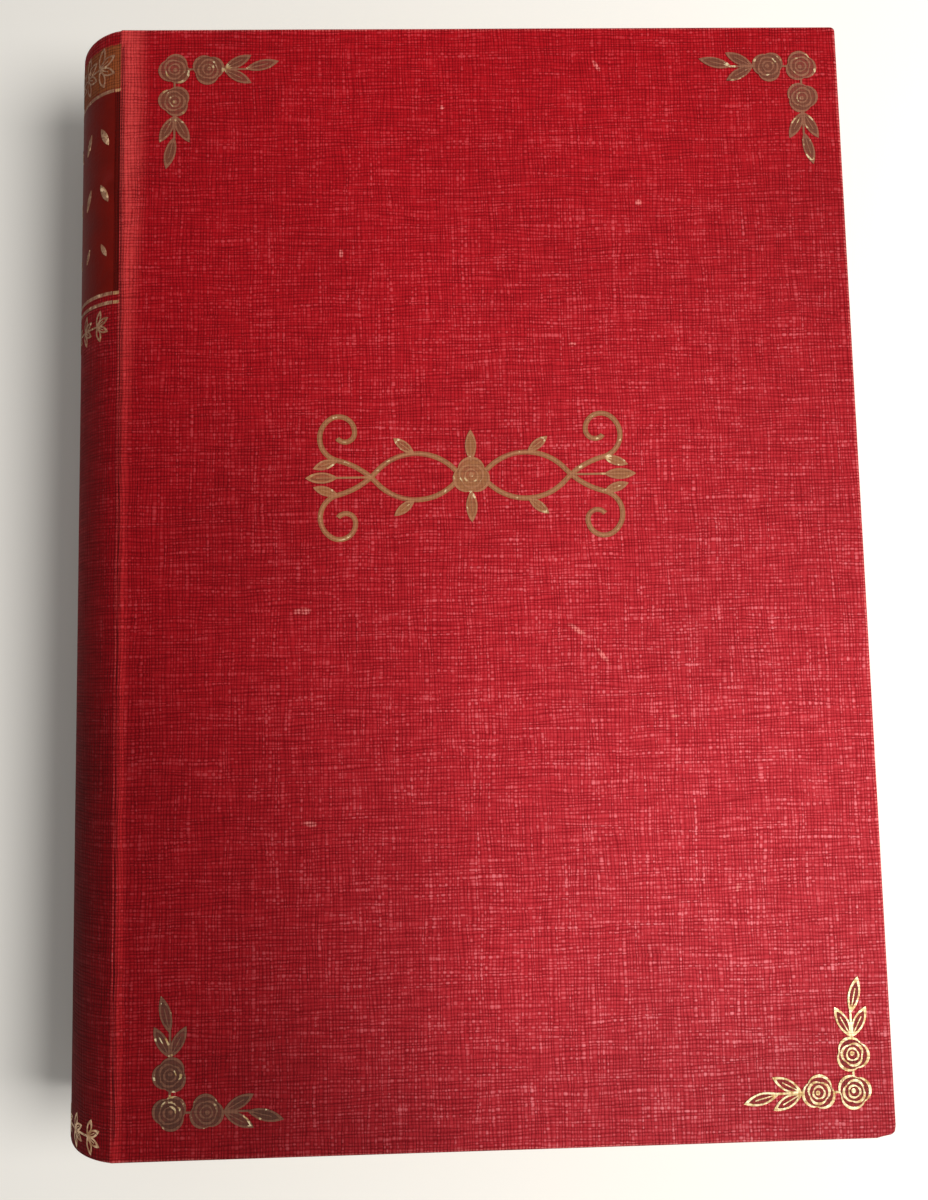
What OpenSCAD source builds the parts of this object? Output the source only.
// Cloth-bound hardback book with a rounded spine, closed, lying on its back cover.
// X runs from the spine (-X) to the fore edge (+X), Y from the tail (-Y) to the head (+Y), Z up.

/* [Covers] */
// Height of the covers, tail to head
cover_h = 190; // [150:1:260]
// Width of a cover, from the ridge of the spine to the fore edge
cover_w = 126; // [100:1:180]
// Thickness of the millboard in each cover
board_t = 2.5; // [1.5:0.1:4]
// Thickness of the covering cloth with its glue
cloth_t = 0.4; // [0.3:0.05:0.6]
// Width of the cloth turned in over the inside of the boards
turn_in = 15; // [12:1:20]
// Rounding of the cloth over the edges of the boards
edge_r = 0.6; // [0.4:0.05:1]
// Rounding of the cover corners, seen from above
corner_r = 0.8; // [0.5:0.1:2]
// Length worn off the tail edge at the knocked corner of the front cover
knocked_x = 2.2; // [1:0.1:3]
// Length worn off the fore edge at the same corner
knocked_y = 1.3; // [0.8:0.1:3]
// Slot in the mitre of the turned-in cloth at each corner
mitre_gap = 0.2; // [0.1:0.05:0.5]

/* [Pages] */
// Thickness of the pages
block_t = 20.5; // [14:0.5:30]
// How far the boards reach past the pages at the head, tail and fore edge
square = 3.2; // [2:0.1:5]
// Thickness of the endpapers
paper_t = 0.12; // [0.1:0.01:0.2]
// Cloth left bare round the pastedown
paste_margin = 4.5; // [3:0.5:8]
// Air between a closed cover and the pages
closing_gap = 0.15; // [0.1:0.05:0.4]

/* [Spine] */
// How far the round of the spine stands out past the ridge
spine_out = 10.8; // [8:0.1:11]
// Thickness of the card strip in the spine
inlay_t = 0.5; // [0.3:0.05:0.8]
// Width of the ridge left without card, beside each cover
inlay_margin = 1.2; // [0.8:0.1:2.5]
// Gap between the cap of the spine and the lined back of the pages
hollow_gap = 0.3; // [0.2:0.05:1]
// Thickness of the paper lining on the back of the pages
lining_t = 0.25; // [0.15:0.05:0.5]
// Thickness of the mull
mull_t = 0.2; // [0.1:0.05:0.3]
// How far the mull stops short of the head and tail of the pages
mull_short = 12; // [12:1:25]
// Width of the mull glued to each board
flap_w = 25; // [18:1:32]
// Thickness of the sewn bead of the headbands
band_d = 1.8; // [1.4:0.1:2.2]
// Height of the strip that the bead is sewn on
band_skirt = 10; // [6:0.5:11]

/* [Hinges] */
// Half the width of the crease in the cloth at each hinge
crease = 0.35; // [0.3:0.05:0.6]

/* [Gilt on the cover] */
// Thickness of the gold foil along the drawn lines
gilt_t = 0.06; // [0.04:0.01:0.1]
// Thickness of the foil ground inside the roses and leaves
ground_t = 0.03; // [0.02:0.005:0.035]
// Width of the drawn foil lines
line_w = 0.35; // [0.25:0.05:0.5]
// Radius of the roses in the corner pieces
rose_r = 2.85; // [2.2:0.05:3.2]
// From the fore edge to the middle of a corner rose
rose_from_fore = 6.7; // [5:0.1:12]
// From the ridge to the middle of a corner rose
rose_from_ridge = 9.2; // [7:0.1:14]
// From the head or tail to the middle of a corner rose
rose_from_end = 7.6; // [5:0.1:12]
// Distance from one rose of a corner piece to the next
rose_step = 5.8; // [5.6:0.1:7]
// Length of the side leaves of a corner piece
leaf_len = 5.5; // [4:0.1:6]
// Width of the leaves of a corner piece
leaf_w = 1.9; // [1.4:0.1:2.4]
// From the ridge to the middle of the motif
motif_x = 59.4; // [50:0.1:80]
// Height of the motif's middle above the middle of the cover
motif_y = 14.7; // [0:0.1:30]
// Radius of the motif's large scrolls
scroll_r = 9; // [7:0.1:9.5]
// Width of the foil ground along the motif's scrolls
stroke_w = 0.85; // [0.6:0.05:1.2]

/* [Gilt on the spine] */
// Thickness of the dark title panel
panel_t = 0.04; // [0.03:0.01:0.08]
// From the head of the spine to the title panel
panel_from_head = 11.4; // [10.5:0.1:16]
// Height of the title panel
panel_h = 35.8; // [30:0.1:45]
// Width of a gilt rule across the spine
rule_w = 0.6; // [0.4:0.05:1]
// Distance between a pair of rules
rule_step = 1.6; // [1.2:0.1:3]
// Height of the garlands under the title panel and at the tail
garland_h = 5.8; // [5:0.1:7]
// Height of the garland at the head
head_garland_h = 7.8; // [6:0.1:8.5]
// Air between a garland and the rule beside it
garland_gap = 0.6; // [0.4:0.05:1.5]
// Height of the rows of leaves on the title panel
row_h = 3.8; // [3:0.1:4.5]
// Distance from one row of leaves to the next
row_step = 10.2; // [8:0.1:12]

/* [Hidden] */
$fn = 64;
// Whether a gilt drawing is made as filled shapes, for the ground, or as lines
$filled = false;

// A hair's breadth that lets a cutter pass through the face it cuts
cut = 0.5;
// Glue line that keeps curved layers from touching
glue = 0.02;

// One cover, outer face to inner face, with the cloth on both sides
case_t = 2 * cloth_t + board_t;
// Whole closed book
book_t = block_t + 2 * (case_t + 2 * paper_t + closing_gap);
mid_z = book_t / 2;
// Where the boards start beside the crease: behind the paper that lines their spine edge
board_x = crease + paper_t + glue;
// Ridge of the spine, with the book's middle at X = 0
ridge_x = (spine_out - cover_w) / 2;

// The spine's round is an arc through both ridges; its layers share one axis
spine_r = (pow(spine_out, 2) + pow(mid_z, 2)) / (2 * spine_out);
axis_x = spine_r - spine_out;
// Angle from the crown of the spine to its ridges
ridge_angle = asin(mid_z / spine_r);
inlay_r = spine_r - cloth_t - glue;
cap_t = 2 * cloth_t + inlay_t + 2 * glue;
cap_r = spine_r - cap_t;
lining_r = cap_r - hollow_gap;
mull_r = lining_r - lining_t - glue;
block_r = mull_r - mull_t - glue;

block_h = cover_h - 2 * square;
block_half = block_t / 2;
fore_x = cover_w - square;
// The fore edge is hollowed by the same round as the back
hollow_x = fore_x + sqrt(pow(block_r, 2) - pow(block_half, 2));
// How high the shoulder of the pages stands over their flat side
shoulder_h = sqrt(pow(block_r, 2) - pow(axis_x, 2)) - block_half;
mull_h = block_h - 2 * mull_short;
panel_y1 = cover_h / 2 - panel_from_head;
panel_y0 = panel_y1 - panel_h;
turn_y = cover_h / 2 - turn_in;
// The card ends inside the rounded roll of cloth at the head and tail
inlay_h = cover_h - cap_t;

// Rectangle with rounded corners on its +X side only
module half_soft_rect(x0, x1, y0, y1, r) {
    translate([x0, y0]) square([x1 - x0 - r, y1 - y0]);
    translate([x0, y0 + r]) square([x1 - x0, y1 - y0 - 2 * r]);
    for (y = [y0 + r, y1 - r]) translate([x1 - r, y]) circle(r);
}

// Rectangle with all four corners rounded, middle of its width at 0
module soft_rect(w, y0, y1, r) {
    translate([-w / 2 + r, y0]) square([w - 2 * r, y1 - y0]);
    translate([-w / 2, y0 + r]) square([w, y1 - y0 - 2 * r]);
    for (x = [r - w / 2, w / 2 - r], y = [y0 + r, y1 - r]) translate([x, y]) circle(r);
}

// Tube wall round the spine's axis, as long as height h, cut off level with x = stop_x
module spine_layer(r_in, r_out, h, stop_x) {
    intersection() {
        translate([axis_x, h / 2, mid_z]) rotate([90, 0, 0]) difference() {
            cylinder(r = r_out, h = h, $fn = 96);
            translate([0, 0, -cut]) cylinder(r = r_in, h = h + 2 * cut, $fn = 96);
        }
        translate([stop_x - 2 * spine_r, -h, -spine_r]) cube([2 * spine_r, 2 * h, 4 * spine_r]);
    }
}

// A profile in (radius, height) turned round the spine's axis, cut off level with x = stop_x
module spine_turned(stop_x) {
    intersection() {
        translate([axis_x, 0, mid_z]) rotate([-90, 0, 0]) rotate_extrude($fn = 96) children();
        translate([stop_x - 2 * spine_r, -cover_h, -spine_r])
            cube([2 * spine_r, 2 * cover_h, 4 * spine_r]);
    }
}

// Mirrors what lies on the back cover to the front cover
module to_front() {
    translate([0, 0, book_t]) mirror([0, 0, 1]) children();
}

// Everything below is drawn with the ridge of the spine at x = 0 and placed by this
module in_place() {
    translate([ridge_x, 0, 0]) children();
}

// Pages

module text_block() {
    color([0.87, 0.80, 0.64]) in_place() difference() {
        union() {
            spine_layer(0, block_r, block_h, 0);
            translate([-1, -block_h / 2, mid_z - block_half]) cube([fore_x + 1, block_h, block_t]);
        }
        translate([hollow_x, block_h / 2 + cut, mid_z]) rotate([90, 0, 0])
            cylinder(r = block_r, h = block_h + 2 * cut, $fn = 96);
    }
}

module flyleaf() {
    leaf_z = mid_z - block_half - paper_t;
    translate([0, -block_h / 2, leaf_z]) cube([fore_x, block_h, paper_t]);
    translate([0, -block_h / 2, leaf_z - shoulder_h + 2 * paper_t])
        cube([paper_t, block_h, shoulder_h]);
}

module back_flyleaf() {
    color([0.90, 0.85, 0.72]) in_place() flyleaf();
}

module front_flyleaf() {
    color([0.90, 0.85, 0.72]) in_place() to_front() flyleaf();
}

module mull() {
    color([0.80, 0.76, 0.66]) in_place() spine_layer(mull_r - mull_t, mull_r, mull_h, -glue);
}

module spine_lining() {
    color([0.62, 0.48, 0.32]) in_place() spine_layer(lining_r - lining_t, lining_r, block_h, -0.4);
}

// A bead on the edge of the pages, and the strip under it that is glued to their back
module band() {
    in_place() spine_turned(-0.6) {
        translate([mull_r - band_d / 2, (block_h + band_d) / 2]) circle(d = band_d, $fn = 24);
        translate([mull_r - mull_t, block_h / 2 - band_skirt]) square([mull_t, band_skirt + band_d / 2]);
    }
}

module headband() {
    color([0.78, 0.70, 0.52]) band();
}

module tailband() {
    color([0.78, 0.70, 0.52]) mirror([0, 1, 0]) band();
}

// Spine of the case

module spine_inlay() {
    color([0.55, 0.50, 0.42]) in_place()
        spine_layer(inlay_r - inlay_t, inlay_r, inlay_h, -inlay_margin - glue);
}

module spine_cloth() {
    color([0.50, 0.08, 0.10]) in_place() difference() {
        spine_turned(-crease) difference() {
            union() {
                translate([cap_r, -(cover_h - cap_t) / 2]) square([cap_t, cover_h - cap_t]);
                for (s = [-1, 1]) translate([cap_r + cap_t / 2, s * (cover_h - cap_t) / 2])
                    circle(d = cap_t, $fn = 24);
            }
            translate([cap_r - cut, -turn_y]) square([cap_t - cloth_t + cut, 2 * turn_y]);
        }
        spine_layer(cap_r + cloth_t, inlay_r + glue, inlay_h + 2 * glue, -inlay_margin);
    }
}

module spine_title_panel() {
    color([0.27, 0.07, 0.08]) in_place()
        translate([0, (panel_y0 + panel_y1) / 2, 0])
        spine_layer(spine_r, spine_r + panel_t, panel_h, -inlay_margin);
}

// Covers, drawn with the outer face at z = 0 and the inner face up

// The whole cover from start_x to the fore edge, drawn in by inset on all its outer faces
module cover_slab(start_x, inset, round_r) {
    x1 = cover_w - inset;
    half_h = cover_h / 2 - inset;
    intersection() {
        rotate([90, 0, 0]) linear_extrude(height = cover_h, center = true)
            half_soft_rect(start_x, x1, inset, case_t - inset, round_r);
        rotate([90, 0, 90]) linear_extrude(height = cover_w)
            soft_rect(2 * half_h, inset, case_t - inset, round_r);
        linear_extrude(height = case_t) half_soft_rect(start_x, x1, -half_h, half_h, corner_r);
    }
}

// What is worn off the knocked tail corner; inset moves the worn face into the cover
module knocked_corner(inset) {
    slant = sqrt(pow(knocked_x, 2) + pow(knocked_y, 2));
    translate([cover_w - inset * knocked_y / slant, inset * knocked_x / slant - cover_h / 2, -cut])
        linear_extrude(height = case_t + 2 * cut)
        polygon([[-3 * knocked_x, -2 * knocked_y], [2 * knocked_x, 3 * knocked_y],
            [4 * knocked_x, -6 * knocked_y]]);
}

module cover_board() {
    cover_slab(board_x, cloth_t, edge_r / 3);
}

module cover_cloth() {
    difference() {
        cover_slab(crease, 0, edge_r);
        // Room for the board, and no cloth round its spine edge
        cover_slab(0, cloth_t, edge_r / 3);
        translate([0, -cover_h, cloth_t]) cube([board_x, 2 * cover_h, case_t]);
        // The turned-in cloth leaves the middle of the board bare
        translate([0, -turn_y, case_t - cloth_t - cut / 2])
            cube([cover_w - turn_in, 2 * turn_y, cloth_t + cut]);
        // Mitres at the fore-edge corners
        for (s = [-1, 1]) translate([cover_w - turn_in, s * turn_y, 0]) rotate(s * 45)
            translate([-cut, -mitre_gap / 2, case_t - cloth_t - cut / 2])
            cube([1.3 * turn_in, mitre_gap, cloth_t + cut]);
    }
}

module mull_flap() {
    translate([board_x, -mull_h / 2, cloth_t + board_t]) cube([flap_w - board_x, mull_h, mull_t]);
}

module pastedown() {
    board_z = cloth_t + board_t;
    paper_x = cover_w - paste_margin;
    half_h = cover_h / 2 - paste_margin;
    difference() {
        union() {
            // The sheet, and the strip of it that lines the spine edge of the board
            translate([crease, -half_h, board_z]) cube([paper_x - crease, 2 * half_h, cloth_t + paper_t]);
            translate([crease, -half_h, cloth_t + glue]) cube([paper_t, 2 * half_h, board_t]);
        }
        // Turned-in cloth and mull under the paper
        for (s = [0, 1]) mirror([0, s, 0])
            translate([board_x - glue, turn_y, board_z]) cube([cover_w, turn_in, cloth_t]);
        translate([cover_w - turn_in, -cover_h / 2, board_z]) cube([turn_in, cover_h, cloth_t]);
        translate([board_x - glue, -turn_y, board_z]) cube([flap_w - board_x + glue, 2 * turn_y, mull_t]);
        // The paper sinks to the mull and then to the bare board between the turned-in edges
        translate([0, -turn_y + paper_t, board_z + mull_t + paper_t])
            cube([cover_w - turn_in - paper_t, 2 * (turn_y - paper_t), cloth_t]);
        translate([flap_w + paper_t, -turn_y + paper_t, board_z + paper_t])
            cube([cover_w - turn_in - flap_w - 2 * paper_t, 2 * (turn_y - paper_t), cloth_t]);
    }
}

module back_board() {
    color([0.62, 0.55, 0.42]) in_place() cover_board();
}

module front_board() {
    color([0.62, 0.55, 0.42]) in_place() to_front() difference() {
        cover_board();
        knocked_corner(cloth_t);
    }
}

module back_cloth() {
    color([0.62, 0.10, 0.13]) in_place() cover_cloth();
}

module front_cloth() {
    color([0.62, 0.10, 0.13]) in_place() to_front() difference() {
        cover_cloth();
        knocked_corner(0);
    }
}

module back_mull_flap() {
    color([0.80, 0.76, 0.66]) in_place() mull_flap();
}

module front_mull_flap() {
    color([0.80, 0.76, 0.66]) in_place() to_front() mull_flap();
}

module back_pastedown() {
    color([0.90, 0.85, 0.72]) in_place() pastedown();
}

module front_pastedown() {
    color([0.90, 0.85, 0.72]) in_place() to_front() pastedown();
}

// Gilt drawings, flat. Those on the cover are stamped twice: filled as a thin ground of foil, and as
// raised lines on it.

// Part of a circle drawn as a line, from angle a0 to a1, less than 170 degrees apart
module arc_line(r, a0, a1, w) {
    far = 3 * r;
    am = (a0 + a1) / 2;
    intersection() {
        difference() {
            circle(r + w / 2);
            circle(r - w / 2);
        }
        polygon([[0, 0], far * [cos(a0), sin(a0)], 3 * far * [cos(am), sin(am)], far * [cos(a1), sin(a1)]]);
    }
}

// Pointed leaf from the origin along +X
module full_leaf(len, w) {
    arc_r = (pow(len, 2) + pow(w, 2)) / (4 * w);
    intersection_for (s = [-1, 1]) translate([len / 2, s * (arc_r - w / 2)]) circle(arc_r);
}

// The same leaf as a drawing, with a vein along part of it
module leaf(len, w, vein = 0.6) {
    tip = 0.75 * line_w * len / w;
    if ($filled) full_leaf(len, w);
    else {
        difference() {
            full_leaf(len, w);
            translate([tip, 0]) full_leaf(len - 2 * tip, w - 1.6 * line_w);
        }
        if (vein > 0) translate([tip / 2, -line_w / 4]) square([len * vein, line_w / 2]);
    }
}

// Three petals round the middle. The edge of each is a crescent that thins out where the next one begins.
module petals(offset_r, r, w) {
    for (i = [0:2]) rotate(120 * i) translate([offset_r, 0]) difference() {
        circle(r);
        translate([-w, 0]) circle(r);
    }
}

// Full rose seen from above: two rows of petals round a curled heart
module rose(r) {
    if ($filled) for (i = [0:2]) rotate(120 * i) translate([0.3 * r, 0]) circle(0.7 * r);
    else {
        petals(0.3 * r, 0.7 * r, 1.3 * line_w);
        rotate(60) petals(0.19 * r, 0.5 * r, 1.2 * line_w);
        rotate(15) petals(0.1 * r, 0.3 * r, line_w);
        translate([0.06 * r, 0]) circle(0.13 * r);
    }
}

// Stalk from x0 to x1 along +X
module stalk(x0, x1) {
    translate([x0, -line_w / 2]) square([x1 - x0, line_w]);
}

// Spray of three leaves along +X: two at its foot and one on a stalk that leans to the +Y side
module spray() {
    stalk_len = 0.75 * leaf_len;
    for (s = [-1, 1]) rotate(s * 28) leaf(leaf_len, leaf_w);
    stalk(0, stalk_len);
    translate([stalk_len - line_w, 0]) rotate(14) leaf(1.1 * leaf_len, leaf_w);
}

// One arm of a corner piece along +X: a stalk, a rose turned by a and the spray
module corner_arm(a) {
    stalk(0.8 * rose_r, rose_step - 0.8 * rose_r);
    translate([rose_step, 0]) rotate(a) rose(rose_r);
    translate([rose_step + rose_r - line_w / 2, 0]) spray();
}

// Corner piece for the ridge and tail corner: a rose in the corner, one arm along +X and one along +Y
module corner_piece() {
    rotate(45) rose(rose_r);
    mirror([0, 1, 0]) corner_arm(20);
    rotate(90) corner_arm(-20);
}

// A pen line from the origin along +X. Each of its turns is [radius, angle], left is positive, with the
// angle of a leaf that grows where the turn ends, if it has one.
module pen_line(turns, i = 0) {
    if (i < len(turns)) {
        side = turns[i][1] > 0 ? 0 : 1;
        r = turns[i][0] * scroll_r;
        a = abs(turns[i][1]);
        mirror([0, side, 0]) {
            translate([0, r]) arc_line(r, -90, a - 90, $filled ? stroke_w : line_w);
            translate([r * sin(a), r - r * cos(a)]) rotate(a) mirror([0, side, 0]) {
                if (len(turns[i]) > 2) rotate(turns[i][2]) leaf(0.8 * leaf_len, 0.85 * leaf_w);
                pen_line(turns, i + 1);
            }
        }
    }
}

// Middle motif: on each side of a rose two scrolls cross, curl away and leave a leaf between them
module motif() {
    heart_r = 1.15 * rose_r;
    lead = 48;
    start = heart_r * [0.8, 0.3];
    cross_x = start[0] + 2 * scroll_r * sin(lead) + start[1] / tan(lead);
    stem = 0.7 * scroll_r;
    scroll = [[1, -50, 40], [1, -46], [1.45, 34, 32], [0.44, -130], [0.3, -130], [0.18, -140]];
    rotate(90) rose(heart_r);
    for (s = [0, 1], t = [0, 1]) mirror([s, 0]) mirror([0, t])
        translate(start) rotate(lead) pen_line(scroll);
    for (a = [0, 180]) rotate(a) {
        stalk(cross_x, cross_x + stem);
        translate([cross_x + 0.9 * stem, 0]) leaf(leaf_len, leaf_w);
    }
    for (a = [90, 270]) rotate(a) translate([0.75 * heart_r, 0]) leaf(leaf_len, leaf_w);
}

// Stamps a flat drawing into the front cover
module stamped() {
    color([0.62, 0.47, 0.24]) in_place() translate([0, 0, book_t]) {
        linear_extrude(height = ground_t) let ($filled = true) children();
        linear_extrude(height = gilt_t) children();
    }
}

module front_corner_gilt() {
    stamped() for (s = [0, 1]) mirror([0, s, 0]) {
        translate([rose_from_ridge, rose_from_end - cover_h / 2]) corner_piece();
        translate([cover_w - rose_from_fore, rose_from_end - cover_h / 2])
            mirror([1, 0, 0]) corner_piece();
    }
}

module front_centre_gilt() {
    stamped() translate([motif_x, motif_y]) motif();
}

// Gilt on the spine

// A flat drawing, +X along the spine to the head, laid on the round at angle a from its crown
module on_spine(a, y, base_r, reach) {
    translate([axis_x, y, mid_z]) rotate([0, a, 0]) intersection() {
        rotate([0, -90, 0]) rotate(90) linear_extrude(height = base_r + 1) children();
        rotate([90, 0, 0]) translate([0, 0, -reach]) difference() {
            cylinder(r = base_r + gilt_t, h = 2 * reach, $fn = 96);
            translate([0, 0, -cut]) cylinder(r = base_r, h = 2 * (reach + cut), $fn = 96);
        }
    }
}

// Four leaves on one place of a garland's stem, which runs along +X: two stand up and two lean forward
module leaf_fan(h) {
    leaf_l = h / 2;
    for (s = [-1, 1]) {
        rotate(s * 72) leaf(leaf_l, 0.4 * leaf_l, 0);
        rotate(s * 26) leaf(leaf_l, 0.4 * leaf_l, 0.5);
    }
}

// Garland round the spine: a rose on its crown, and on each side a stem with three fans of leaves, the
// last of which ends before the ridge
module garland(y, h) {
    side_angle = 0.6 * ridge_angle;
    side_room = spine_r * sin(ridge_angle - side_angle);
    fans = side_room * [-0.8, -0.22, 0.36];
    on_spine(0, y, spine_r, h) rose(0.42 * h);
    for (s = [-1, 1]) on_spine(s * side_angle, y, spine_r, h) rotate(-90 * s) {
        stalk(fans[0] - 0.16 * side_room, fans[2]);
        for (x = fans) translate([x, 0]) leaf_fan(h);
    }
}

// Row of leaves across the title panel, leaning to the left and to the right by turns
module leaf_row(y, h) {
    side_angle = 0.46 * ridge_angle;
    leaf_step = 0.305 * spine_r;
    for (a = [-side_angle, side_angle]) on_spine(a, y, spine_r + panel_t, h) for (i = [0:3])
        translate([0, leaf_step * (i - 1.5)]) rotate(i % 2 == 0 ? 25 : -25)
        translate([-h / 2, 0]) full_leaf(h, 0.3 * h);
}

module spine_gilt() {
    color([0.70, 0.55, 0.28]) in_place() {
        for (y = [panel_y1 + rule_w / 2, panel_y0 - rule_w / 2, panel_y0 - rule_w / 2 - rule_step])
            translate([0, y, 0]) spine_layer(spine_r, spine_r + gilt_t, rule_w, -inlay_margin);
        garland(panel_y1 + rule_w + garland_gap + head_garland_h / 2, head_garland_h);
        garland(panel_y0 - rule_w - rule_step - garland_gap - garland_h / 2, garland_h);
        garland(cap_t / 2 + garland_h / 2 - cover_h / 2, garland_h);
        for (i = [-1:1])
            leaf_row((panel_y0 + panel_y1) / 2 + i * row_step, i < 0 ? 0.7 * row_h : row_h);
    }
}

text_block();
mull();
spine_lining();
headband();
tailband();
front_flyleaf();
back_flyleaf();
spine_inlay();
spine_cloth();
spine_title_panel();
spine_gilt();
front_board();
front_cloth();
front_mull_flap();
front_pastedown();
front_corner_gilt();
front_centre_gilt();
back_board();
back_cloth();
back_mull_flap();
back_pastedown();
